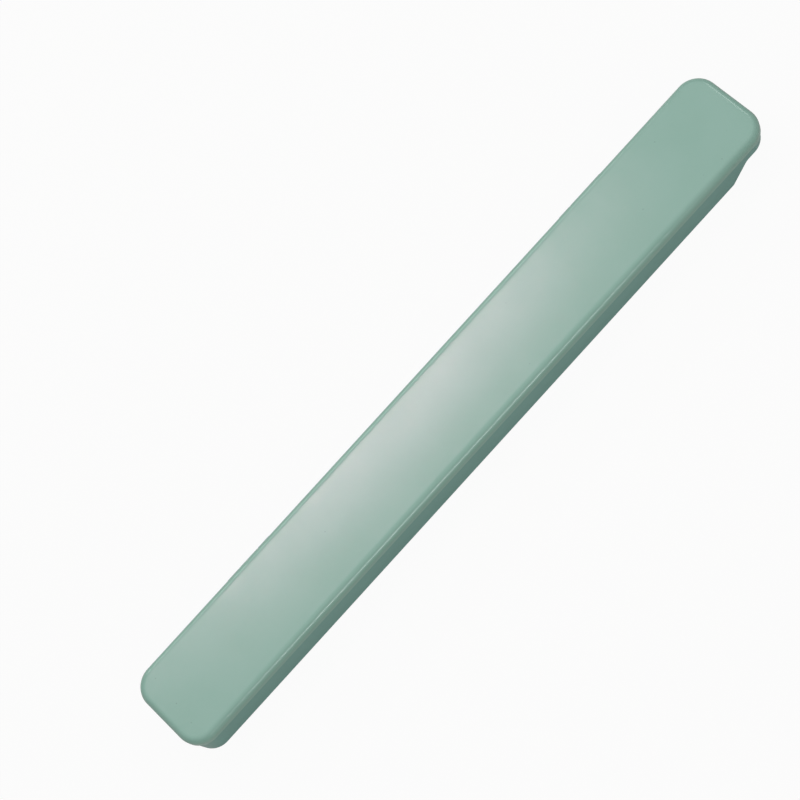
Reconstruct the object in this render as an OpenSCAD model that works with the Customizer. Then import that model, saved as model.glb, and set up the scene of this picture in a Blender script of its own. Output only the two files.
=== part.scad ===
// Slim portable case for two long sticks side by side: a moulded tub, a shallow moulded lid
// and a two-station barrel hinge on the far long side.
// The case lies along X, its bottom rests on z = 0 and its middle is at x = 0, y = 0.
// The hinge side is +Y, the opening side is -Y and the finger undercut is at the +X end.

/* [Case] */
// Length over the lid
case_l = 255; // [235:1:280]
// Width over the lid
case_w = 30.5; // [28:0.5:38]
// Height of the closed case
case_h = 17; // [16:0.5:24]
// Corner radius of the lid in plan
corner_r = 7.5; // [6:0.25:10]

/* [Lid] */
// Height of the lid, from its lower edge to its top
lid_h = 4.7; // [4.4:0.1:6]
// Thickness of the lid's top
lid_top_t = 1.6; // [1.2:0.1:2]
// Thickness of the lid's skirt
lid_wall = 1.2; // [1:0.05:1.4]
// Radius of the soft edge round the lid's top
lid_edge_r = 2.4; // [1.8:0.1:2.6]

/* [Tub] */
// How far the tub's rim stands back from the lid's skirt
tub_inset = 0.4; // [0.35:0.05:0.7]
// How much further the walls draw in at the bottom, for mould draft
tub_draft = 0.5; // [0.3:0.05:1.2]
// Thickness of the tub's wall
tub_wall = 1.8; // [1.7:0.05:2.4]
// Thickness of the tub's floor
tub_floor = 1.6; // [1.2:0.1:2]
// Radius of the tub's bottom edge
tub_edge_r = 1.5; // [1:0.1:2.5]
// Height of the tongue that stands up inside the lid
tongue_h = 2; // [1.4:0.1:2.4]

/* [Clearances] */
// Gap between the lid's lower edge and the tub's rim
seam_gap = 0.1; // [0.05:0.05:0.2]
// Gap between the tongue and the lid's skirt
tongue_gap = 0.4; // [0.35:0.05:0.5]
// Gap round and beside a hinge knuckle
knuckle_gap = 0.3; // [0.2:0.05:0.4]
// Radial running clearance of a hinge pin
pin_gap = 0.05; // [0.02:0.01:0.1]

/* [Hinge] */
// Distance between the two hinge stations
hinge_spacing = 150; // [90:5:180]
// Outside diameter of a knuckle
knuckle_d = 2.9; // [2.6:0.1:3.2]
// Diameter of a hinge pin
pin_d = 1.2; // [1:0.1:1.4]
// Length of each of the tub's two knuckles at a station
tub_knuckle_l = 5; // [3:0.5:8]
// Length of the lid's knuckle at a station
lid_knuckle_l = 8; // [5:0.5:14]
// How far the hinge axis lies inside the lid's back face
hinge_set_in = 0.3; // [0.2:0.05:0.35]
// How far a pin's end lies inside its knuckle
pin_recess = 0.4; // [0.2:0.1:1]
// Thickness of the pad that backs each station inside the tub
pad_t = 1.4; // [1:0.1:2]

/* [Snap] */
// Length of each snap ridge on the tongue
snap_l = 24; // [12:1:40]
// Distance between the two snap ridges
snap_spacing = 120; // [60:5:160]
// How far a snap ridge stands out from the tongue
snap_out = 0.15; // [0.1:0.05:0.2]

/* [Cradle] */
// Largest diameter that a cradle takes
stick_d = 7.5; // [6:0.25:8]
// Distance between the two cradles of a rib
stick_pitch = 11; // [9.5:0.25:12]
// Number of cradle ribs
rib_count = 3; // [2:1:5]
// Distance between cradle ribs
rib_pitch = 75; // [40:1:80]
// Thickness of a cradle rib
rib_t = 1.6; // [1.2:0.1:2.4]

/* [Finger undercut] */
// Length of the lip over the undercut
lip_l = 11.2; // [8:0.1:16]
// Height of the undercut above the bottom
undercut_h = 7.8; // [6:0.1:9]
// Slope of the ramp that leads down from the lip
ramp_angle = 44; // [35:1:55]
// Radius where the ramp meets the lip
ramp_r = 3; // [1:0.5:5]
// Radius where the ramp meets the bottom
foot_r = 5; // [3:0.5:8]

/* [Hidden] */
$fn = 64;

plastic = [0.55, 0.67, 0.62];
plastic_low = [0.45, 0.57, 0.53];
steel = [0.75, 0.76, 0.78];

// Overshoot of a cut past the face that it opens
cut_over = 1;
// Radial play in a cradle
stick_play = 0.25;
// Least rib left under a cradle's notch
rib_under_notch = 0.9;
// Bevel on the tongue's top and on a pin's ends
lead_in = 0.3;

// Heights
seam_z = case_h - lid_h;
tongue_top = seam_z + tongue_h;

// Distances out from the line of the corner centres
lid_out = corner_r;
lid_in = lid_out - lid_wall;
tongue_out = lid_in - tongue_gap;
tub_out = corner_r - tub_inset;
tub_in = tub_out - tub_wall;
lid_inner_r = lid_edge_r - lid_wall;
draft_angle = atan(tub_draft / seam_z);

// Hinge, seen along X
axis_y = case_w / 2 - hinge_set_in;
knuckle_r = knuckle_d / 2;
bore_d = pin_d + 2 * pin_gap;
station_l = lid_knuckle_l + 2 * (knuckle_gap + tub_knuckle_l);
tub_knuckle_x = lid_knuckle_l / 2 + knuckle_gap;
web_angle = 30;
web_h = 4.5;
lid_web_h = 3;

// Cradles
notch_r = stick_d / 2 + stick_play;
rib_top = tub_floor + rib_under_notch + notch_r;

// Distance out of the tub's drafted wall at height z, for a wall whose rim is at out
function drafted(out, z) = out - (seam_z - z) * tan(draft_angle);

// Carries a wall section round a rounded rectangle and fills the middle from z0 to z1.
// The section's x runs outwards from the line of the corner centres.
module round_body(z0, z1) {
    run_x = case_l - 2 * corner_r;
    run_y = case_w - 2 * corner_r;
    translate([-run_x / 2, -run_y / 2, z0])
        cube([run_x, run_y, z1 - z0]);
    for (side = [0, 1]) {
        rotate(180 * side)
            translate([-run_x / 2, run_y / 2, 0])
                rotate([90, 0, 90])
                    linear_extrude(run_x)
                        children();
        rotate(90 + 180 * side)
            translate([-run_y / 2, run_x / 2, 0])
                rotate([90, 0, 90])
                    linear_extrude(run_y)
                        children();
        rotate(180 * side) {
            translate([run_x / 2, run_y / 2, 0])
                rotate_extrude(angle = 90)
                    children();
            translate([-run_x / 2, run_y / 2, 0])
                rotate(90)
                    rotate_extrude(angle = 90)
                        children();
        }
    }
}

// Cylinder along X, centred at the given point
module bar_x(x, y, z, d, l) {
    translate([x - l / 2, y, z])
        rotate([0, 90, 0])
            cylinder(d = d, h = l);
}

// Section of a block whose outer top edge is rounded: the corner is cut off straight
// and a disc fills the cut
module soft_top(out, bottom, top, r) {
    polygon([[0, bottom], [out, bottom], [out, top - r], [out - r, top], [0, top]]);
    translate([out - r, top - r])
        circle(r);
}

// Section of a drafted wall that meets its floor in a rounded edge, up to the given height
module soft_bottom(out, floor_z, top, r) {
    edge_z = floor_z + r;
    edge_x = drafted(out, edge_z) - r / cos(draft_angle);
    polygon([
        [0, floor_z],
        [edge_x, floor_z],
        [edge_x + r * cos(draft_angle), edge_z - r * sin(draft_angle)],
        [drafted(out, top), top],
        [0, top]
    ]);
    translate([edge_x, edge_z])
        circle(r);
}

module lid_section() {
    difference() {
        soft_top(lid_out, seam_z + seam_gap, case_h, lid_edge_r);
        soft_top(lid_in, seam_z - cut_over, case_h - lid_top_t, lid_inner_r);
    }
}

module tub_section() {
    soft_bottom(tub_out, 0, seam_z, tub_edge_r);
    polygon([
        [0, seam_z],
        [tongue_out, seam_z],
        [tongue_out, tongue_top - lead_in],
        [tongue_out - lead_in, tongue_top],
        [0, tongue_top]
    ]);
}

module cavity_section() {
    soft_bottom(tub_in, tub_floor, tongue_top + cut_over, tub_edge_r);
}

// Space under the lip at the +X end, grown inwards by a wall thickness
module undercut(wall) {
    top = undercut_h + wall;
    far_x = case_l / 2 + cut_over;
    // Where the ramp's line meets the lip's underside, and where it meets the bottom
    lip_x = case_l / 2 - lip_l - wall * tan(ramp_angle / 2);
    foot_x = lip_x - undercut_h / tan(ramp_angle);
    // Distance from each of those corners to the ends of its rounding
    lip_turn = ramp_r * tan(ramp_angle / 2);
    foot_turn = (foot_r - wall) * tan(ramp_angle / 2);
    translate([0, case_w / 2 + cut_over, 0])
        rotate([90, 0, 0])
            linear_extrude(case_w + 2 * cut_over)
                difference() {
                    union() {
                        polygon([
                            [foot_x - foot_turn, -cut_over],
                            [foot_x - foot_turn, wall],
                            [foot_x + foot_turn * cos(ramp_angle), wall + foot_turn * sin(ramp_angle)],
                            [lip_x - lip_turn * cos(ramp_angle), top - lip_turn * sin(ramp_angle)],
                            [lip_x + lip_turn, top],
                            [far_x, top],
                            [far_x, -cut_over]
                        ]);
                        translate([lip_x + lip_turn, top - ramp_r])
                            circle(ramp_r);
                    }
                    translate([foot_x - foot_turn, foot_r])
                        circle(foot_r - wall);
                }
}

// Half of a hinge station that grows from a wall: knuckle with the web that carries it.
// dir is -1 for a web that runs down the tub and 1 for one that runs up the lid.
module knuckle(x, l, dir, web, wall_y) {
    root_y = axis_y + knuckle_r * cos(web_angle);
    root_z = seam_z + dir * knuckle_r * sin(web_angle);
    bar_x(x, axis_y, seam_z, knuckle_d, l);
    translate([x - l / 2, 0, 0])
        rotate([90, 0, 90])
            linear_extrude(l)
                polygon([
                    [axis_y, seam_z + dir * seam_gap],
                    [root_y, root_z],
                    [wall_y, seam_z + dir * web],
                    [wall_y - lid_wall / 2, seam_z + dir * web],
                    [wall_y - lid_wall / 2, seam_z + dir * seam_gap]
                ]);
}

// Places its children at both hinge stations
module stations() {
    for (side = [-1, 1])
        translate([side * hinge_spacing / 2, 0, 0])
            children();
}

// Cradle rib across the tub, run into both walls, with two round notches
module cradle_rib(x) {
    reach = case_w / 2 - corner_r + drafted(tub_in, 0) + tub_wall / 2;
    root_z = tub_floor / 2;
    difference() {
        translate([x - rib_t / 2, -reach, root_z])
            cube([rib_t, 2 * reach, rib_top - root_z]);
        for (side = [-1, 1])
            bar_x(x, side * stick_pitch / 2, rib_top, 2 * notch_r, rib_t + 2 * cut_over);
    }
}

// Snap ridges on the tongue's front, or with more radius the grooves that they sit in
module snap_bars(grow) {
    ridge_r = 0.8;
    y = -(case_w / 2 - corner_r + tongue_out + snap_out - ridge_r);
    for (side = [-1, 1])
        bar_x(side * snap_spacing / 2, y, seam_z + tongue_h / 2, 2 * (ridge_r + grow), snap_l + 2 * grow);
}

module tub() {
    color(plastic_low)
    difference() {
        union() {
            difference() {
                round_body(0, tongue_top)
                    tub_section();
                undercut(0);
                difference() {
                    round_body(tub_floor, tongue_top + cut_over)
                        cavity_section();
                    undercut(tub_floor);
                    stations()
                        translate([-station_l / 2, case_w / 2 - corner_r + tub_in - pad_t, 0])
                            cube([station_l, pad_t + tub_wall, tongue_top]);
                }
            }
            for (i = [0 : rib_count - 1])
                cradle_rib((i - (rib_count - 1) / 2) * rib_pitch);
            snap_bars(0);
            stations()
                for (side = [-1, 1])
                    knuckle(side * (tub_knuckle_x + tub_knuckle_l / 2), tub_knuckle_l, -1, web_h,
                            case_w / 2 - tub_inset);
        }
        stations() {
            bar_x(0, axis_y, seam_z, knuckle_d + 2 * knuckle_gap, lid_knuckle_l + 2 * knuckle_gap);
            bar_x(0, axis_y, seam_z, bore_d, station_l + 2 * cut_over);
        }
    }
}

module lid() {
    color(plastic)
    difference() {
        union() {
            difference() {
                round_body(case_h - lid_top_t, case_h)
                    lid_section();
                stations()
                    for (side = [-1, 1])
                        bar_x(side * (tub_knuckle_x + tub_knuckle_l / 2), axis_y, seam_z,
                              knuckle_d + 2 * knuckle_gap, tub_knuckle_l + 2 * knuckle_gap);
                snap_bars(tongue_gap);
            }
            stations()
                knuckle(0, lid_knuckle_l, 1, lid_web_h, case_w / 2);
        }
        stations()
            bar_x(0, axis_y, seam_z, bore_d, station_l);
    }
}

// Steel wire pin with bevelled ends
module hinge_pin(side) {
    l = station_l - 2 * pin_recess;
    color(steel)
    translate([side * hinge_spacing / 2 - l / 2, axis_y, seam_z])
        rotate([0, 90, 0])
            rotate_extrude()
                polygon([
                    [0, 0],
                    [pin_d / 2 - lead_in, 0],
                    [pin_d / 2, lead_in],
                    [pin_d / 2, l - lead_in],
                    [pin_d / 2 - lead_in, l],
                    [0, l]
                ]);
}

module hinge_pin_left() { hinge_pin(-1); }
module hinge_pin_right() { hinge_pin(1); }

tub();
lid();
hinge_pin_left();
hinge_pin_right();
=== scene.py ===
# %% [markdown]
# # A slim two-shell travel case
#
# The case is moulded from satin grey-green plastic: a tub, and a shallow soft-edged lid on a hidden wire
# hinge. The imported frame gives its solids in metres, lying along X with the bottom on z = 0. This script
# makes the same shells again with finely rounded edges, gives them their finish, and sets up the studio.

import bpy
import numpy as np
from mathutils import Matrix, Quaternion, Vector


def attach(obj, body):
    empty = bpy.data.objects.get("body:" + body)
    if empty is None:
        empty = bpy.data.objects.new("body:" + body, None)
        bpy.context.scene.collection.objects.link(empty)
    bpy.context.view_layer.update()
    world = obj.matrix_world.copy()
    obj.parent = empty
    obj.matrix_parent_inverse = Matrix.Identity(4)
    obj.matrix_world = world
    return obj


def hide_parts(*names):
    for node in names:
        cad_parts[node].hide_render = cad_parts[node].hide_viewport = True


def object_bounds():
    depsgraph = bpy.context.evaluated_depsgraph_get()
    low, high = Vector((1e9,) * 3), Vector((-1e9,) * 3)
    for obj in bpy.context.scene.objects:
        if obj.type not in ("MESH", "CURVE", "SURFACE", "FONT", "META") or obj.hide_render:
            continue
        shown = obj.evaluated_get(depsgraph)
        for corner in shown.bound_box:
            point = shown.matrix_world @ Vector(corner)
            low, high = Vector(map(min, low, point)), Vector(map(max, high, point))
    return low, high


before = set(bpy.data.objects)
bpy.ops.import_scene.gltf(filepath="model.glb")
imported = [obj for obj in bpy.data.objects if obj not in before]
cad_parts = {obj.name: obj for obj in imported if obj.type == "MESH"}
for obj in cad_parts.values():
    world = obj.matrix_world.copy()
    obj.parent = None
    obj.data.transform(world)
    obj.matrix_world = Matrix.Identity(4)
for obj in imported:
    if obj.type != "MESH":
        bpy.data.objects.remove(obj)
cad_low, cad_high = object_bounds()
MM = 0.001
scene = bpy.context.scene
scene.view_settings.view_transform = "Standard"
print("CAD box, mm:", [round(v / MM, 2) for v in (*cad_low, *cad_high)])

# %% [markdown]
# ## Camera
#
# The photograph looks steeply down on the case, turned so that the case runs from corner to corner. The
# angles, distance and focal length below were found by laying the case's outline over the photograph's,
# so the camera is built from them directly: three axes and a place, with no aiming.

# %% Camera at the photograph's angle
VIEW_AZIMUTH = np.radians(-5.0)
VIEW_ELEVATION = np.radians(67.0)
VIEW_ROLL = np.radians(43.0)
VIEW_DISTANCE = 0.71214
LOOK_AT = np.array([-0.00812, 0.01635, 0.0085])
SENSOR = 36.0
FOCAL_PIXELS = 2319.5
PHOTO_PIXELS = 800

back = np.array([
    np.sin(VIEW_AZIMUTH) * np.cos(VIEW_ELEVATION),
    -np.cos(VIEW_AZIMUTH) * np.cos(VIEW_ELEVATION),
    np.sin(VIEW_ELEVATION),
])
level = np.array([np.cos(VIEW_AZIMUTH), np.sin(VIEW_AZIMUTH), 0.0])
upright = np.cross(back, level)
right = level * np.cos(VIEW_ROLL) - upright * np.sin(VIEW_ROLL)
up = level * np.sin(VIEW_ROLL) + upright * np.cos(VIEW_ROLL)
eye = LOOK_AT + back * VIEW_DISTANCE

camera_data = bpy.data.cameras.new("camera")
camera_data.sensor_width = SENSOR
camera_data.lens = FOCAL_PIXELS * SENSOR / PHOTO_PIXELS
camera = bpy.data.objects.new("camera", camera_data)
placed = np.eye(4)
placed[:3] = np.column_stack([right, up, back, eye])
camera.matrix_world = Matrix(placed.tolist())
scene.collection.objects.link(camera)
scene.camera = camera
print("camera at", eye.round(3), "lens", round(camera_data.lens, 1))


# %% [markdown]
# ## One wall section, carried round
#
# A moulded shell has the same wall all the way round: at the ends, at the sides and round the corners. So
# each shell here is one section, drawn as distance out and height, and carried round a rounded rectangle.
# Box modelling with bevels would do as well, but the section keeps every radius exact and in one list.

# %% Helpers for surfaces on a grid
CASE_L, CASE_W, CASE_H, CORNER_R = 255.0, 30.5, 17.0, 7.5
RUN_X, RUN_Y = CASE_L - 2 * CORNER_R, CASE_W - 2 * CORNER_R
CORNER_STEPS = 28


def arc(out, height, radius, start, stop, steps):
    """Centre plus radius times cosine and sine of evenly spaced angles, in degrees."""
    turn = np.radians(np.linspace(start, stop, steps + 1))
    return np.column_stack([out + radius * np.cos(turn), height + radius * np.sin(turn)])


def closed_grid(points):
    """Quads between neighbours on a grid that wraps round in its first direction.

    A flat face closes each end."""
    around, along, _ = points.shape
    index = np.arange(around * along).reshape(around, along)
    after = np.roll(index, -1, axis=0)
    quads = np.stack([index[:, :-1], after[:, :-1], after[:, 1:], index[:, 1:]], axis=-1)
    ends = [index[::-1, 0].tolist(), index[:, -1].tolist()]
    return points.reshape(-1, 3), quads.reshape(-1, 4).tolist() + ends


def carried(section):
    """Corner's centre plus the section's distance out times the outward direction, at the section's height.

    The outward direction turns through 90 degrees at each corner and stays the same along the sides."""
    turn = np.radians(np.linspace(0, 90, CORNER_STEPS + 1))
    angle = np.concatenate([turn + quarter * np.pi / 2 for quarter in range(4)])
    outward = np.column_stack([np.cos(angle), np.sin(angle)])
    corner = np.repeat([[1, 1], [-1, 1], [-1, -1], [1, -1]], CORNER_STEPS + 1, axis=0)
    centre = corner * np.array([RUN_X, RUN_Y]) / 2
    plan = centre[:, None, :] + section[None, :, :1] * outward[:, None, :]
    height = np.broadcast_to(section[None, :, 1:], (*plan.shape[:2], 1))
    return closed_grid(np.concatenate([plan, height], axis=2))


def solid(name, surface):
    """Mesh object from points in millimetres and faces, at the origin."""
    points, faces = surface
    mesh = bpy.data.meshes.new(name)
    mesh.from_pydata((points * MM).tolist(), [], faces)
    mesh.update()
    piece = bpy.data.objects.new(name, mesh)
    scene.collection.objects.link(piece)
    return piece


# %% [markdown]
# ## The lid's shell
#
# The lid has a flat top, a soft edge of 2.4 mm radius, and a short skirt that overlaps the tub's tongue. Its
# lower rim has the small rounding that every moulded edge has, and that makes the seam read as a fine line.
# A row of points just before each radius keeps the flats flat where smooth shading blends into a curve.

# %% Lid section
SEAM_Z, SEAM_GAP = 12.3, 0.1
LID_TOP_T, LID_WALL, LID_EDGE_R = 1.6, 1.2, 2.4
RIM_R, HOLD, MIDDLE = 0.25, 0.35, 1.0
lid_out, lid_in = CORNER_R, CORNER_R - LID_WALL
lid_foot, ceiling = SEAM_Z + SEAM_GAP, CASE_H - LID_TOP_T
inner_r = LID_EDGE_R - LID_WALL
fillet_out = lid_out - LID_EDGE_R

lid_section = np.vstack([
    [MIDDLE, ceiling],
    [fillet_out - HOLD, ceiling],
    arc(fillet_out, ceiling - inner_r, inner_r, 90, 0, 10),
    [lid_in, ceiling - inner_r - HOLD],
    [lid_in, lid_foot + RIM_R + HOLD],
    arc(lid_in + RIM_R, lid_foot + RIM_R, RIM_R, 180, 270, 6),
    arc(lid_out - RIM_R, lid_foot + RIM_R, RIM_R, 270, 360, 6),
    [lid_out, lid_foot + RIM_R + HOLD],
    [lid_out, CASE_H - LID_EDGE_R - HOLD],
    arc(fillet_out, CASE_H - LID_EDGE_R, LID_EDGE_R, 0, 90, 20),
    [fillet_out - HOLD, CASE_H],
    [MIDDLE, CASE_H],
])
lid_shell = solid("lid_shell", carried(lid_section))
print("lid shell:", len(lid_shell.data.polygons), "faces from a section of", len(lid_section), "points")

# %% [markdown]
# ## The tub's shell
#
# The tub's walls lean outwards by a little more than two degrees, so that the mould lets them go. Outside
# wall, shoulder, tongue, inside wall and floor are one continuous section, which starts in the middle of
# the underside and ends in the middle of the floor.

# %% Tub section
TUB_INSET, TUB_DRAFT, TUB_WALL, TUB_FLOOR, TUB_EDGE_R = 0.4, 0.5, 1.8, 1.6, 1.5
TONGUE_H, TONGUE_GAP, LEAD_IN = 2.0, 0.4, 0.3
slope = TUB_DRAFT / SEAM_Z
lean = np.degrees(np.arctan(slope))
tub_out = CORNER_R - TUB_INSET
tub_in = tub_out - TUB_WALL
tongue_out, tongue_top = lid_in - TONGUE_GAP, SEAM_Z + TONGUE_H


def drafted(out, height):
    """Distance out at the rim, less the slope times the height below the rim."""
    return out - (SEAM_Z - height) * slope


def wall_foot(out, floor):
    """Centre of the rounding between a floor and a drafted wall."""
    height = floor + TUB_EDGE_R
    return drafted(out, height) - TUB_EDGE_R / np.cos(np.radians(lean)), height


outer_foot, inner_foot = wall_foot(tub_out, 0.0), wall_foot(tub_in, TUB_FLOOR)
rim_in = drafted(tub_in, tongue_top)
tub_section = np.vstack([
    [MIDDLE, 0.0],
    [outer_foot[0] - HOLD, 0.0],
    arc(*outer_foot, TUB_EDGE_R, -90, -lean, 16),
    [drafted(tub_out, outer_foot[1] + HOLD), outer_foot[1] + HOLD],
    [drafted(tub_out, SEAM_Z - RIM_R - HOLD), SEAM_Z - RIM_R - HOLD],
    arc(drafted(tub_out, SEAM_Z - RIM_R) - RIM_R, SEAM_Z - RIM_R, RIM_R, -lean, 90, 6),
    arc(tongue_out + RIM_R, SEAM_Z + RIM_R, RIM_R, 270, 180, 6),
    [tongue_out, SEAM_Z + RIM_R + HOLD],
    arc(tongue_out - LEAD_IN, tongue_top - LEAD_IN, LEAD_IN, 0, 90, 6),
    arc(rim_in + LEAD_IN / 2, tongue_top - LEAD_IN / 2, LEAD_IN / 2, 90, 180, 4),
    [drafted(tub_in, SEAM_Z), SEAM_Z],
    [drafted(tub_in, inner_foot[1] + HOLD), inner_foot[1] + HOLD],
    arc(*inner_foot, TUB_EDGE_R, -lean, -90, 12),
    [inner_foot[0] - HOLD, TUB_FLOOR],
    [MIDDLE, TUB_FLOOR],
])
tub_shell = solid("tub_shell", carried(tub_section))
print("tub shell:", len(tub_shell.data.polygons), "faces, walls lean", round(lean, 2), "degrees")

# %% [markdown]
# ## Tools for carving
#
# The hinge, the cradle ribs and the finger undercut interrupt the shells. They are made as small closed
# solids, straight bars of one outline or turned bars of one profile, and joined to the shell or cut from
# it with Boolean modifiers. The result is kept as a plain mesh, and the helper solids are deleted.


# %% Straight bars, turned bars and carving
SHARP = np.radians(35)


def bar_along_x(outline, start, stop):
    """Outline of (y, z) points, carried straight along X from start to stop."""
    outline = np.asarray(outline, dtype=float)
    ahead = np.roll(outline, -1, axis=0)
    area = np.sum(outline[:, 0] * ahead[:, 1] - ahead[:, 0] * outline[:, 1])
    outline = outline if area > 0 else outline[::-1]
    stations = np.broadcast_to(np.array([start, stop])[None, :, None], (len(outline), 2, 1))
    sides = np.repeat(outline[:, None, :], 2, axis=1)
    return closed_grid(np.concatenate([stations, sides], axis=2))


def bar_along_y(outline, reach):
    """Outline of (x, z) points, carried straight along Y from -reach to reach.

    It is a bar along X, turned about Z."""
    points, faces = bar_along_x(np.asarray(outline) * [-1, 1], -reach, reach)
    return np.column_stack([-points[:, 1], points[:, 0], points[:, 2]]), faces


def turned(profile, place, steps=48):
    """Profile of (along, radius) points, turned about a line parallel to X: radius times cosine and sine."""
    angle = np.linspace(0, 2 * np.pi, steps, endpoint=False)[:, None]
    along = np.broadcast_to(profile[:, 0], (steps, len(profile)))
    radius = profile[None, :, 1]
    return closed_grid(np.stack([along, radius * np.cos(angle), radius * np.sin(angle)], axis=2) + place)


def rod(length, radius, rim, steps=5):
    """Profile of a plain rod with a small rounding at each end."""
    tail = arc(-length / 2 + rim, radius - rim, rim, 180, 90, steps)
    return np.vstack([tail, tail[::-1] * [-1, 1]])


def carve(piece, steps):
    """Join solids to a piece or cut them from it, in order, and keep the result as the piece's mesh."""
    for operation, tool in steps:
        boolean = piece.modifiers.new(tool.name, "BOOLEAN")
        boolean.operation = operation
        boolean.solver = "EXACT"
        boolean.object = tool
    carved = bpy.data.meshes.new_from_object(piece.evaluated_get(bpy.context.evaluated_depsgraph_get()))
    piece.modifiers.clear()
    piece.data = carved
    for _, tool in steps:
        bpy.data.objects.remove(tool)
    carved.name = piece.name
    carved.shade_smooth()
    carved.set_sharp_from_angle(angle=SHARP)
    print(piece.name, "carved:", len(carved.polygons), "faces")


# %% [markdown]
# ## The wire hinge
#
# Two stations on the far side each have three knuckles in a row: the lid's between two of the tub's, on a
# steel wire. Each knuckle stands on a web that runs into its wall. Room is cut for a knuckle in the other
# shell, and one bore goes through all three.

# %% Hinge stations
HINGE_X, AXIS_Y, KNUCKLE_R, PIN_R, PIN_GAP = 75.0, 14.95, 1.45, 0.6, 0.05
TUB_KNUCKLE_L, LID_KNUCKLE_L, KNUCKLE_GAP, PIN_L = 5.0, 8.0, 0.3, 17.8
KNUCKLE_RIM, ROOM_RIM, TUB_WEB, LID_WEB, BORE_OVER = 0.2, 0.02, 4.5, 3.0, 2.0
TUB_KNUCKLE_X = LID_KNUCKLE_L / 2 + KNUCKLE_GAP + TUB_KNUCKLE_L / 2
STATION_L = LID_KNUCKLE_L + 2 * (KNUCKLE_GAP + TUB_KNUCKLE_L)


def knuckle(name, x, length, rise, web, wall):
    """Rounded rod on the hinge line, and its web as a straight bar.

    The web is below the rod (rise -1) or above it (rise 1)."""
    foot = SEAM_Z + rise * SEAM_GAP
    root = (AXIS_Y + KNUCKLE_R * np.cos(np.pi / 6), SEAM_Z + rise * KNUCKLE_R / 2)
    outline = [(AXIS_Y, foot), root, (wall, SEAM_Z + rise * web)]
    outline += [(wall - LID_WALL / 2, SEAM_Z + rise * web), (wall - LID_WALL / 2, foot)]
    barrel = solid(name, turned(rod(length, KNUCKLE_R, KNUCKLE_RIM), [x, AXIS_Y, SEAM_Z]))
    return barrel, solid(name + "_web", bar_along_x(outline, x - length / 2, x + length / 2))


def room(name, x, length, radius):
    """Plain rod on the hinge line that clears a knuckle or a pin."""
    return solid(name, turned(rod(length, radius, ROOM_RIM, 1), [x, AXIS_Y, SEAM_Z]))


lid_steps, hinge_steps = [], []
for side in (-HINGE_X, HINGE_X):
    for x in (side - TUB_KNUCKLE_X, side + TUB_KNUCKLE_X):
        clear_l = TUB_KNUCKLE_L + 2 * KNUCKLE_GAP
        lid_steps.append(("DIFFERENCE", room("lid_room", x, clear_l, KNUCKLE_R + KNUCKLE_GAP)))
        parts = knuckle("tub_knuckle", x, TUB_KNUCKLE_L, -1, TUB_WEB, CASE_W / 2 - TUB_INSET)
        hinge_steps += [("UNION", part) for part in parts]
for side in (-HINGE_X, HINGE_X):
    clear_l = LID_KNUCKLE_L + 2 * KNUCKLE_GAP
    hinge_steps.append(("DIFFERENCE", room("tub_room", side, clear_l, KNUCKLE_R + KNUCKLE_GAP)))
    hinge_steps.append(("DIFFERENCE", room("tub_bore", side, STATION_L + BORE_OVER, PIN_R + PIN_GAP)))
    parts = knuckle("lid_knuckle", side, LID_KNUCKLE_L, 1, LID_WEB, CASE_W / 2)
    lid_steps += [("UNION", part) for part in parts]
    lid_steps.append(("DIFFERENCE", room("lid_bore", side, STATION_L, PIN_R + PIN_GAP)))
print("hinge axis at y", AXIS_Y, "z", SEAM_Z, "with stations", STATION_L, "long")

# %% [markdown]
# ## Snap ridges
#
# Two low ridges on the front of the tub's tongue click into two grooves in the lid's skirt and hold the
# lid shut. A groove is the ridge again, only thicker.

# %% Snap ridges and grooves, and the finished lid
SNAP_X, SNAP_L, SNAP_R, SNAP_OUT = 60.0, 24.0, 0.8, 0.15
RIDGE_RIM, GROOVE_RIM = 0.4, 0.3
snap_place = np.array([0.0, -(RUN_Y / 2 + tongue_out + SNAP_OUT - SNAP_R), SEAM_Z + TONGUE_H / 2])
ridge_steps = []
for side in (-SNAP_X, SNAP_X):
    place = snap_place + [side, 0, 0]
    groove = turned(rod(SNAP_L + 2 * TONGUE_GAP, SNAP_R + TONGUE_GAP, GROOVE_RIM), place)
    lid_steps.append(("DIFFERENCE", solid("snap_groove", groove)))
    ridge = turned(rod(SNAP_L, SNAP_R, RIDGE_RIM), place)
    ridge_steps.append(("UNION", solid("snap_ridge", ridge)))
carve(lid_shell, lid_steps)

# %% [markdown]
# ## Finger undercut
#
# The tub's right-hand end overhangs: a short lip, with a ramp under it that leads back down to the bottom,
# lets a finger get under the closed case. Inside, the floor climbs over the ramp at the same thickness. So
# a filler the shape of the ramp's inside is joined to the shell first, and then the ramp is cut.

# %% Filler and ramp
LIP_L, UNDERCUT_H, RAMP_ANGLE, RAMP_R, FOOT_R, OVER = 11.2, 7.8, 44.0, 3.0, 5.0, 1.0
half = np.radians(RAMP_ANGLE / 2)


def ramp_outline(wall, bottom):
    """Arc from the bottom into the ramp, arc from the ramp into the lip's underside, and the box below them.

    All of it is grown by a wall's thickness, so the two arcs of a larger outline have the same centres."""
    top = UNDERCUT_H + wall
    lip_x = CASE_L / 2 - LIP_L - wall * np.tan(half)
    foot_x = lip_x - UNDERCUT_H / np.tan(2 * half) - (FOOT_R - wall) * np.tan(half)
    foot = arc(foot_x, FOOT_R, FOOT_R - wall, -90, RAMP_ANGLE - 90, 12)
    bend = arc(lip_x + RAMP_R * np.tan(half), top - RAMP_R, RAMP_R, 90 + RAMP_ANGLE, 90, 12)
    far_x = CASE_L / 2 + OVER
    return np.vstack([[foot_x, bottom], foot, bend, [far_x, top], [far_x, bottom]])


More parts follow.
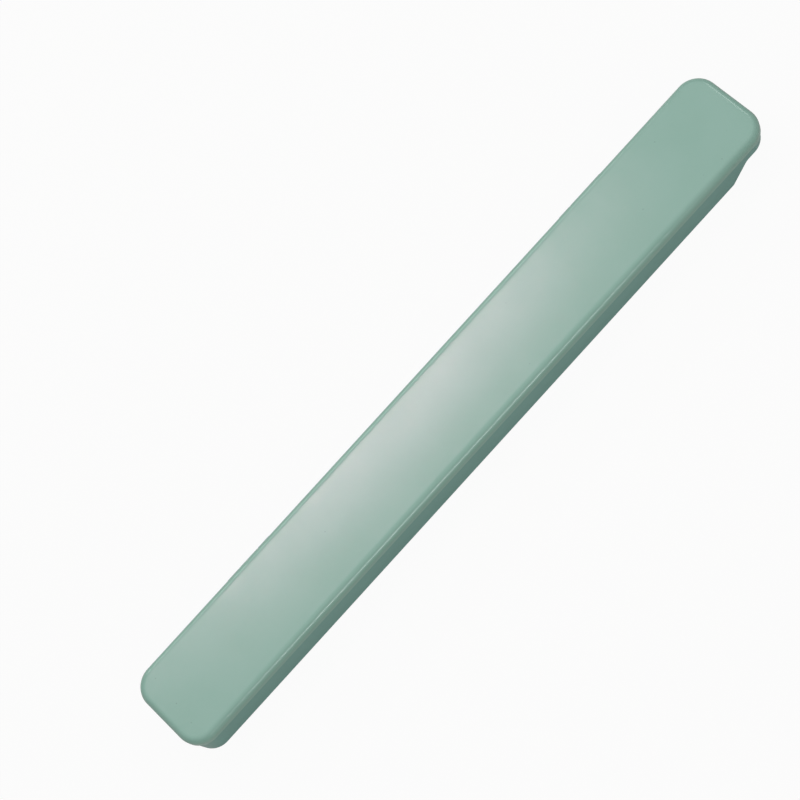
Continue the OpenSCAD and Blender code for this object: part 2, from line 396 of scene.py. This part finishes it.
within = TUB_WALL / 2
core_section = np.vstack([
    [MIDDLE, TUB_FLOOR / 2],
    [drafted(tub_out, 0) - within, TUB_FLOOR / 2],
    [tub_out - within, SEAM_Z - within],
    [MIDDLE, SEAM_Z - within],
])
filler = solid("ramp_filler", bar_along_y(ramp_outline(TUB_FLOOR, 0.0), CASE_W))
carve(filler, [("INTERSECT", solid("ramp_core", carried(core_section)))])
ramp_cut = solid("ramp_cut", bar_along_y(ramp_outline(0.0, -OVER), CASE_W))
tub_steps = [("UNION", filler), ("DIFFERENCE", ramp_cut)]

# %% [markdown]
# ## Cradle ribs and hinge pads
#
# Three low ribs across the tub, each with two round notches, keep what lies in it apart and off the floor.
# Two pads thicken the far wall behind the hinge stations. Their edges get a small Bevel, because a section
# can't round the edges at its own ends.

# %% Ribs and pads, and the finished tub
RIB_PITCH, RIB_T, NOTCH_Y, NOTCH_R, RIB_TOP, RIB_SOFT = 75.0, 1.6, 5.5, 4.0, 6.5, 0.3
PAD_T, PAD_FOOT, PAD_TOP, PAD_SINK, PAD_SOFT = 1.4, 0.8, 14.25, 0.3, 0.25


def softened(piece, width):
    """Round all sharp edges of a small solid."""
    bevel = piece.modifiers.new("soft_edges", "BEVEL")
    bevel.width = width * MM
    bevel.segments = 3
    bevel.limit_method = "ANGLE"
    bevel.angle_limit = np.radians(50)
    return piece


reach = RUN_Y / 2 + drafted(tub_in, 0) + TUB_WALL / 2
rib_outline = np.vstack([
    [-reach, TUB_FLOOR / 2],
    [reach, TUB_FLOOR / 2],
    [reach, RIB_TOP],
    arc(NOTCH_Y, RIB_TOP, NOTCH_R, 0, -180, 24),
    arc(-NOTCH_Y, RIB_TOP, NOTCH_R, 0, -180, 24),
    [-reach, RIB_TOP],
])
for x in (-RIB_PITCH, 0.0, RIB_PITCH):
    rib = solid("cradle_rib", bar_along_x(rib_outline, x - RIB_T / 2, x + RIB_T / 2))
    tub_steps.append(("UNION", softened(rib, RIB_SOFT)))
pad_y = RUN_Y / 2 + tub_in - PAD_T
pad_back = pad_y + PAD_T + PAD_SINK
pad_outline = [(pad_y, PAD_FOOT), (pad_back, PAD_FOOT), (pad_back, PAD_TOP), (pad_y, PAD_TOP)]
for side in (-HINGE_X, HINGE_X):
    pad = solid("hinge_pad", bar_along_x(pad_outline, side - STATION_L / 2, side + STATION_L / 2))
    tub_steps.append(("UNION", softened(pad, PAD_SOFT)))
carve(tub_shell, tub_steps + ridge_steps + hinge_steps)

# %% [markdown]
# ## Hinge wires
#
# A pin of this kind is a short length of drawn wire with tumbled ends, pushed in from one side.

# %% Hinge wires
pins = {}
for name, side in (("hinge_wire_left", -HINGE_X), ("hinge_wire_right", HINGE_X)):
    pins[name] = solid(name, turned(rod(PIN_L, PIN_R, LEAD_IN), [side, AXIS_Y, SEAM_Z]))
    pins[name].data.shade_smooth()
    pins[name].data.set_sharp_from_angle(angle=SHARP)
    print(name, "is", PIN_L, "long and", 2 * PIN_R, "thick")

# %% [markdown]
# ## What moves with what
#
# The lid swings about the wires, and the wires stay in the tub's knuckles. Each piece made here stands in
# for one solid of the frame.

# %% What moves with what
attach(lid_shell, "lid")
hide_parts("lid")
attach(tub_shell, "tub")
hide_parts("tub")
for name, node in (("hinge_wire_left", "hinge_pin_left"), ("hinge_wire_right", "hinge_pin_right")):
    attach(pins[name], "tub")
    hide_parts(node)


# %% [markdown]
# ## Light
#
# The lid carries one wide, soft highlight, strongest at mid-length and towards its far side. A mirror finds
# the lamp for it: the line from the camera to a spot on that part of the lid, turned about the lid's normal,
# points at three bars, one behind another and each longer than the last, so that the highlight fades towards
# the ends. The bars are thin, because a wide lamp would light up the far soft edge as well. A low strip in
# front draws the thin bright line along the near soft edge, a box behind lights the far side, and a small
# strip draws the line round the end.


# %% Lamps
def soft_box(name, place, target, size, power, colour=(1.0, 1.0, 1.0), roll=0.0):
    """Rectangular lamp at a place, facing its target and rolled about its own axis."""
    lamp = bpy.data.lights.new(name, "AREA")
    lamp.shape = "RECTANGLE"
    lamp.size, lamp.size_y = size
    lamp.energy = power
    lamp.color = colour
    holder = bpy.data.objects.new(name, lamp)
    holder.location = place
    aim = Vector(target) - Vector(place)
    faced = aim.to_track_quat("-Z", "Y") @ Quaternion((0.0, 0.0, 1.0), roll)
    holder.rotation_euler = faced.to_euler()
    scene.collection.objects.link(holder)


HIGHLIGHT = np.array([-0.020, 0.0125, cad_high[2]])
KEY_DISTANCE, KEY_STEP, KEY_WIDTH = 0.45, 0.005, 0.012
KEY_BARS = ((0.12, 0.042), (0.24, 0.155), (0.36, 0.12))
WARM = (1.0, 0.68, 0.78)
NEAR_ROLL = np.radians(-14)
toward_eye = (eye - HIGHLIGHT) / np.linalg.norm(eye - HIGHLIGHT)
toward_key = toward_eye * np.array([-1, -1, 1])
for step, (length, power) in enumerate(KEY_BARS):
    place = HIGHLIGHT + (KEY_DISTANCE + step * KEY_STEP) * toward_key
    soft_box(f"key_bar_{step + 1}", place, HIGHLIGHT, (length, KEY_WIDTH), power, WARM)
soft_box("near_strip", place=(0.01, -1.46, 0.31), target=(0.01, 0.0, 0.01),
         size=(0.62, 0.045), power=4.2, roll=NEAR_ROLL)
soft_box("far_box", place=(0.0, 0.9, 0.55), target=(0.0, 0.0, 0.0), size=(0.6, 0.1), power=2.3)
soft_box("end_strip", place=(0.57, 0.29, 0.59), target=(0.127, 0.0, 0.017), size=(0.1, 0.3), power=0.3)
print("longest key bar at", place.round(3))

# %% [markdown]
# ## Helpers for shader nodes
#
# The sky, the finishes and the floor are small networks of nodes. These helpers add a node, feed it and hand
# on its output, so that each network reads as a short list of sums.


# %% Helpers for shader nodes
def add(tree, kind, feeds=None, **settings):
    """Add one node, set its options, and feed its inputs from numbers or from other nodes' outputs."""
    made = tree.nodes.new(kind)
    for key, value in settings.items():
        setattr(made, key, value)
    for key, value in (feeds or {}).items():
        if isinstance(value, bpy.types.NodeSocket):
            tree.links.new(value, made.inputs[key])
        else:
            made.inputs[key].default_value = value
    return made


def maths(tree, operation, *values):
    """One Math node on up to three values, giving its output."""
    return add(tree, "ShaderNodeMath", dict(enumerate(values)), operation=operation).outputs[0]


def distance(tree, a, b):
    """Square root of the sum of two squares."""
    return maths(tree, "SQRT", maths(tree, "MULTIPLY_ADD", a, a, maths(tree, "MULTIPLY", b, b)))


def ramp(tree, value, low, high, start=0.0, stop=1.0, smooth=True):
    """Value mapped from low..high to start..stop, held at both ends."""
    feeds = {"Value": value, "From Min": low, "From Max": high, "To Min": start, "To Max": stop}
    kind = "SMOOTHSTEP" if smooth else "LINEAR"
    return add(tree, "ShaderNodeMapRange", feeds, interpolation_type=kind).outputs["Result"]


def noise(tree, place, scale, detail=1.0):
    """Noise value between 0 and 1, with scale in cells per metre."""
    feeds = {"Vector": place, "Scale": scale, "Detail": detail}
    return add(tree, "ShaderNodeTexNoise", feeds).outputs["Fac"]


def tint(tree, share, under, over):
    """Colour under, with a share of colour over."""
    return add(tree, "ShaderNodeMix", {0: share, 6: under, 7: over}, data_type="RGBA").outputs[2]


def new_group(name, inputs, outputs):
    """Empty node group with float inputs and outputs.

    It gives the tree, the inputs' sockets and the sockets that its results go to."""
    tree = bpy.data.node_groups.new(name, "ShaderNodeTree")
    for label, value in inputs.items():
        socket = tree.interface.new_socket(label, in_out="INPUT", socket_type="NodeSocketFloat")
        socket.default_value = value
    for label in outputs:
        tree.interface.new_socket(label, in_out="OUTPUT", socket_type="NodeSocketFloat")
    return tree, tree.nodes.new("NodeGroupInput").outputs, tree.nodes.new("NodeGroupOutput").inputs


def place_group(tree, name, **values):
    """Put a group into a material and set its inputs. Underscores stand for spaces."""
    made = tree.nodes.new("ShaderNodeGroup")
    made.node_tree = bpy.data.node_groups[name]
    for key, value in values.items():
        made.inputs[key.replace("_", " ")].default_value = value
    return made.outputs


def spot(tree):
    """Object coordinates in millimetres: the place, and its x, y and z."""
    place = add(tree, "ShaderNodeTexCoord").outputs["Object"]
    scaled = add(tree, "ShaderNodeVectorMath", {0: place, "Scale": 1 / MM}, operation="SCALE").outputs[0]
    return place, add(tree, "ShaderNodeSeparateXYZ", {0: scaled}).outputs


# %% [markdown]
# ## Sky
#
# A white tent stands over the table: brightest overhead, and dark towards the horizon, so that the lid gets
# more of it than the sides. The camera sees the tent as plain white, and so does a ray through something
# clear. Mirror images have the tent's own glow, and at least a small share of that white: with all of it,
# the sides, which are seen at a slant, would turn pale.

# %% Sky
SKY_TOP, SKY_SEEN, MIRRORED_WHITE = 1.31, 0.97, 0.2
SKY_COLOUR = (0.97, 0.985, 1.0, 1.0)


def seen_white(tree, white):
    """White for the camera and for rays through something clear.

    Mirror images take a small share of white."""
    path = add(tree, "ShaderNodeLightPath").outputs
    straight = maths(tree, "ADD", path["Is Camera Ray"], path["Is Transmission Ray"])
    mirrored = maths(tree, "MULTIPLY", path["Is Glossy Ray"], MIRRORED_WHITE)
    return maths(tree, "MULTIPLY_ADD", straight, white, mirrored)


world = bpy.data.worlds.new("studio")
scene.world = world
world.use_nodes = True
tree = world.node_tree
sky = tree.nodes["Background"]
sky.inputs["Color"].default_value = SKY_COLOUR
way = add(tree, "ShaderNodeTexCoord").outputs["Generated"]
rise = maths(tree, "MAXIMUM", add(tree, "ShaderNodeSeparateXYZ", {0: way}).outputs["Z"], 0.0)
glow = maths(tree, "MULTIPLY", maths(tree, "MULTIPLY", rise, rise), SKY_TOP)
tree.links.new(maths(tree, "MAXIMUM", glow, seen_white(tree, SKY_SEEN)), sky.inputs["Strength"])
print("sky:", SKY_TOP, "overhead")

# %% [markdown]
# ## Finishes as node groups
#
# Both shells come from the same kind of mould, so they share four effects: the fine grain of the mould's
# skin, dust specks, rubbed edges, and the round marks that ejector pins leave inside. Each is a node group,
# built once on Object coordinates, and each material places it with its own values.
#
# The mould's skin is spark-eroded, which leaves a fine satin grain. Over it lies a faint orange peel, and
# the thick plastic has shrunk into very shallow waves, which make the long highlight slightly uneven.

# %% Group: moulded skin
PEEL_CELLS, WAVE_CELLS, CLOUD_CELLS, GLOSS_CELLS = 420.0, 38.0, 70.0, 150.0
FINE_DEPTH, PEEL_DEPTH = 0.0028, 0.002
skin, given, result = new_group(
    "moulded_skin", {"Grain": 2600.0, "Wave Depth": 0.003}, ["Height", "Tone", "Gloss"])
place, _ = spot(skin)
fine = noise(skin, place, given["Grain"], 2.0)
peel = noise(skin, place, PEEL_CELLS)
wave = noise(skin, place, WAVE_CELLS, 0.0)
cloud = noise(skin, place, CLOUD_CELLS, 3.0)
grainy = maths(skin, "MULTIPLY_ADD", peel, PEEL_DEPTH, maths(skin, "MULTIPLY", fine, FINE_DEPTH))
skin.links.new(maths(skin, "MULTIPLY_ADD", wave, given["Wave Depth"], grainy), result["Height"])
skin.links.new(ramp(skin, cloud, 0.3, 0.7), result["Tone"])
skin.links.new(ramp(skin, noise(skin, place, GLOSS_CELLS, 4.0), 0.3, 0.7), result["Gloss"])
print("group moulded_skin:", len(skin.nodes), "nodes")

# %% [markdown]
# A few grains of dust and pigment always show on plain plastic. A Voronoi cell holds one point. Only where
# that point lies close to the surface does a speck appear, so specks are few and of different sizes.

# %% Group: specks
specks, given, result = new_group("specks", {"Cells": 170.0, "Size": 0.045}, ["Mask"])
place, _ = spot(specks)
feeds = {"Vector": place, "Scale": given["Cells"]}
near = add(specks, "ShaderNodeTexVoronoi", feeds, feature="F1").outputs["Distance"]
inside = maths(specks, "SUBTRACT", 1.0, maths(specks, "DIVIDE", near, given["Size"]))
specks.links.new(ramp(specks, inside, 0.0, 0.5), result["Mask"])
print("group specks:", len(specks.nodes), "nodes")

# %% [markdown]
# Pockets and bags rub the outermost edges: they turn a little paler and glossier, in patches. The edge is
# found by its place: the distance out from the rounded rectangle's corner line, and a band of height.

# %% Group: rubbed edge
PATCH_CELLS = 110.0
rub, given, result = new_group(
    "rubbed_edge", {"Out Start": 5.9, "Out Full": 6.9, "Height Start": 15.3, "Height Full": 16.3}, ["Mask"])
place, axes = spot(rub)
side_x = maths(rub, "MAXIMUM", maths(rub, "SUBTRACT", maths(rub, "ABSOLUTE", axes["X"]), RUN_X / 2), 0.0)
side_y = maths(rub, "MAXIMUM", maths(rub, "SUBTRACT", maths(rub, "ABSOLUTE", axes["Y"]), RUN_Y / 2), 0.0)
far_out = distance(rub, side_x, side_y)
edge = maths(rub, "MULTIPLY",
             ramp(rub, far_out, given["Out Start"], given["Out Full"]),
             ramp(rub, axes["Z"], given["Height Start"], given["Height Full"]))
patchy = ramp(rub, noise(rub, place, PATCH_CELLS, 5.0), 0.42, 0.68)
rub.links.new(maths(rub, "MULTIPLY", edge, patchy), result["Mask"])
print("group rubbed_edge:", len(rub.nodes), "nodes")

# %% [markdown]
# Ejector pins push a moulding out of its mould and leave a row of shallow rings on its hidden face. Wrapping
# x at a pitch repeats one ring along the case, and mirroring y puts a row on each side of the middle.

# %% Group: ejector marks
RING_W, RING_RISE, DISH_W, DISH_DEPTH = 0.18, 0.05, 0.2, 0.06
marks, given, result = new_group(
    "ejector_marks",
    {"Pitch": 50.0, "Across": 4.0, "Radius": 2.0, "Height Low": 0.0, "Height High": 1.0},
    ["Height"])
_, axes = spot(marks)
half_pitch = maths(marks, "MULTIPLY", given["Pitch"], 0.5)
along = maths(marks, "WRAP", axes["X"], half_pitch, maths(marks, "MULTIPLY", half_pitch, -1.0))
across = maths(marks, "SUBTRACT", maths(marks, "ABSOLUTE", axes["Y"]), given["Across"])
away = distance(marks, along, across)
past_rim = maths(marks, "SUBTRACT", away, given["Radius"])
lip = ramp(marks, maths(marks, "ABSOLUTE", past_rim), 0.0, RING_W, RING_RISE, 0.0)
dish = ramp(marks, past_rim, -DISH_W, 0.0, -DISH_DEPTH, 0.0)
above = maths(marks, "GREATER_THAN", axes["Z"], given["Height Low"])
below = maths(marks, "LESS_THAN", axes["Z"], given["Height High"])
shaped = maths(marks, "ADD", lip, dish)
marks.links.new(maths(marks, "MULTIPLY", shaped, maths(marks, "MULTIPLY", above, below)), result["Height"])
print("group ejector_marks:", len(marks.nodes), "nodes")

# %% [markdown]
# ## Plastic and steel
#
# The lid and the tub are the same satin grey-green. The tub's colour is written deeper and bluer than the
# lid's, as painted shade: it darkens the tub's half-shaded sides beyond what the lamps give.
# A plain colour alone would look like paint on a screen. The groups vary colour, gloss and height by a few
# per cent, which is all that real plastic shows.


# %% Satin plastic
DUST_COLOUR, DUST_SHARE, DUST_RISE = (0.12, 0.16, 0.14, 1.0), 0.35, 0.01
WORN_COLOUR, WORN_SHARE, WORN_POLISH = (0.62, 0.70, 0.66, 1.0), 0.06, 0.03
GLOSS_SPREAD = 0.012


def satin_plastic(name, deep, pale, gloss, rub_place, mark_place):
    """Principled plastic whose colour, roughness and height come from the four groups."""
    finish = bpy.data.materials.new(name)
    finish.use_nodes = True
    tree = finish.node_tree
    shader = tree.nodes["Principled BSDF"]
    skin_out = place_group(tree, "moulded_skin")
    dust = place_group(tree, "specks")["Mask"]
    worn = place_group(tree, "rubbed_edge", **rub_place)["Mask"]
    colour = tint(tree, skin_out["Tone"], (*deep, 1.0), (*pale, 1.0))
    colour = tint(tree, maths(tree, "MULTIPLY", dust, DUST_SHARE), colour, DUST_COLOUR)
    colour = tint(tree, maths(tree, "MULTIPLY", worn, WORN_SHARE), colour, WORN_COLOUR)
    tree.links.new(colour, shader.inputs["Base Color"])
    rough = ramp(tree, skin_out["Gloss"], 0.0, 1.0, gloss - GLOSS_SPREAD, gloss + GLOSS_SPREAD, smooth=False)
    rough = maths(tree, "MULTIPLY_ADD", worn, -WORN_POLISH, rough)
    tree.links.new(rough, shader.inputs["Roughness"])
    height = maths(tree, "MULTIPLY_ADD", dust, DUST_RISE, skin_out["Height"])
    height = maths(tree, "ADD", height, place_group(tree, "ejector_marks", **mark_place)["Height"])
    bump = add(tree, "ShaderNodeBump", {"Height": height, "Strength": 1.0, "Distance": MM})
    tree.links.new(bump.outputs["Normal"], shader.inputs["Normal"])
    print("finish", name, "with", len(tree.nodes), "nodes")
    return finish


lid_finish = satin_plastic(
    "lid_plastic", (0.256, 0.445, 0.363), (0.266, 0.455, 0.375), 0.18,
    {}, {"Height_Low": 15.2, "Height_High": 15.6})
# The tub's deeper, bluer colour is painted shade for its shaded sides, not a different plastic.
tub_shaded_finish = satin_plastic(
    "tub_plastic", (0.150, 0.352, 0.300), (0.160, 0.365, 0.313), 0.25,
    {"Out_Start": 5.2, "Out_Full": 6.4, "Height_Start": 1.6, "Height_Full": 0.4},
    {"Height_Low": 1.4, "Height_High": 1.8})

# %% [markdown]
# The hinge wire is drawn through a die, so it has fine lines along its length and bare metal's shine.

# %% Drawn steel
DRAWN = (60.0, 9000.0, 9000.0)
STEEL_DARK, STEEL_BRIGHT = (0.46, 0.46, 0.47, 1.0), (0.66, 0.66, 0.67, 1.0)
steel = bpy.data.materials.new("pin_steel")
steel.use_nodes = True
tree = steel.node_tree
place, _ = spot(tree)
stretched = add(tree, "ShaderNodeMapping", {"Vector": place, "Scale": DRAWN}).outputs["Vector"]
lines = noise(tree, stretched, 1.0, 3.0)
shader = tree.nodes["Principled BSDF"]
shader.inputs["Metallic"].default_value = 1.0
tree.links.new(tint(tree, lines, STEEL_DARK, STEEL_BRIGHT), shader.inputs["Base Color"])
tree.links.new(ramp(tree, lines, 0.3, 0.7, 0.22, 0.42), shader.inputs["Roughness"])
bump = add(tree, "ShaderNodeBump", {"Height": lines, "Strength": 0.4, "Distance": 0.01 * MM})
tree.links.new(bump.outputs["Normal"], shader.inputs["Normal"])

finished = [(lid_shell, lid_finish), (tub_shell, tub_shaded_finish)]
finished += [(pin, steel) for pin in pins.values()]
for piece, finish in finished:
    piece.data.materials.clear()
    piece.data.materials.append(finish)

# %% [markdown]
# ## Floor
#
# The case lies on a plain floor. It is seen as nearly white, in the same way as the sky. Its own tone is a
# soft grey, which lights the sides gently, so that they stay deeper in colour than the lid. A faint shadow
# stays.

# %% Floor
FLOOR_HALF = 3.0
FLOOR_DROP = 0.05 * MM
FLOOR_SEEN = 0.95
FLOOR_TONE, FLOOR_ROUGH = (0.40, 0.41, 0.38, 1.0), 0.9
floor_mesh = bpy.data.meshes.new("floor")
corners = np.array([[-1, -1, 0], [1, -1, 0], [1, 1, 0], [-1, 1, 0]]) * FLOOR_HALF
corners[:, 2] = -FLOOR_DROP
floor_mesh.from_pydata(corners.tolist(), [], [(0, 1, 2, 3)])
floor = bpy.data.objects.new("floor", floor_mesh)
scene.collection.objects.link(floor)

floor_finish = bpy.data.materials.new("floor_white")
floor_finish.use_nodes = True
tree = floor_finish.node_tree
shader = tree.nodes["Principled BSDF"]
shader.inputs["Base Color"].default_value = FLOOR_TONE
shader.inputs["Roughness"].default_value = FLOOR_ROUGH
seen = seen_white(tree, FLOOR_SEEN)
white = add(tree, "ShaderNodeEmission").outputs["Emission"]
both = add(tree, "ShaderNodeMixShader", {0: seen, 1: shader.outputs["BSDF"], 2: white}).outputs["Shader"]
tree.links.new(both, tree.nodes["Material Output"].inputs["Surface"])
floor_mesh.materials.append(floor_finish)
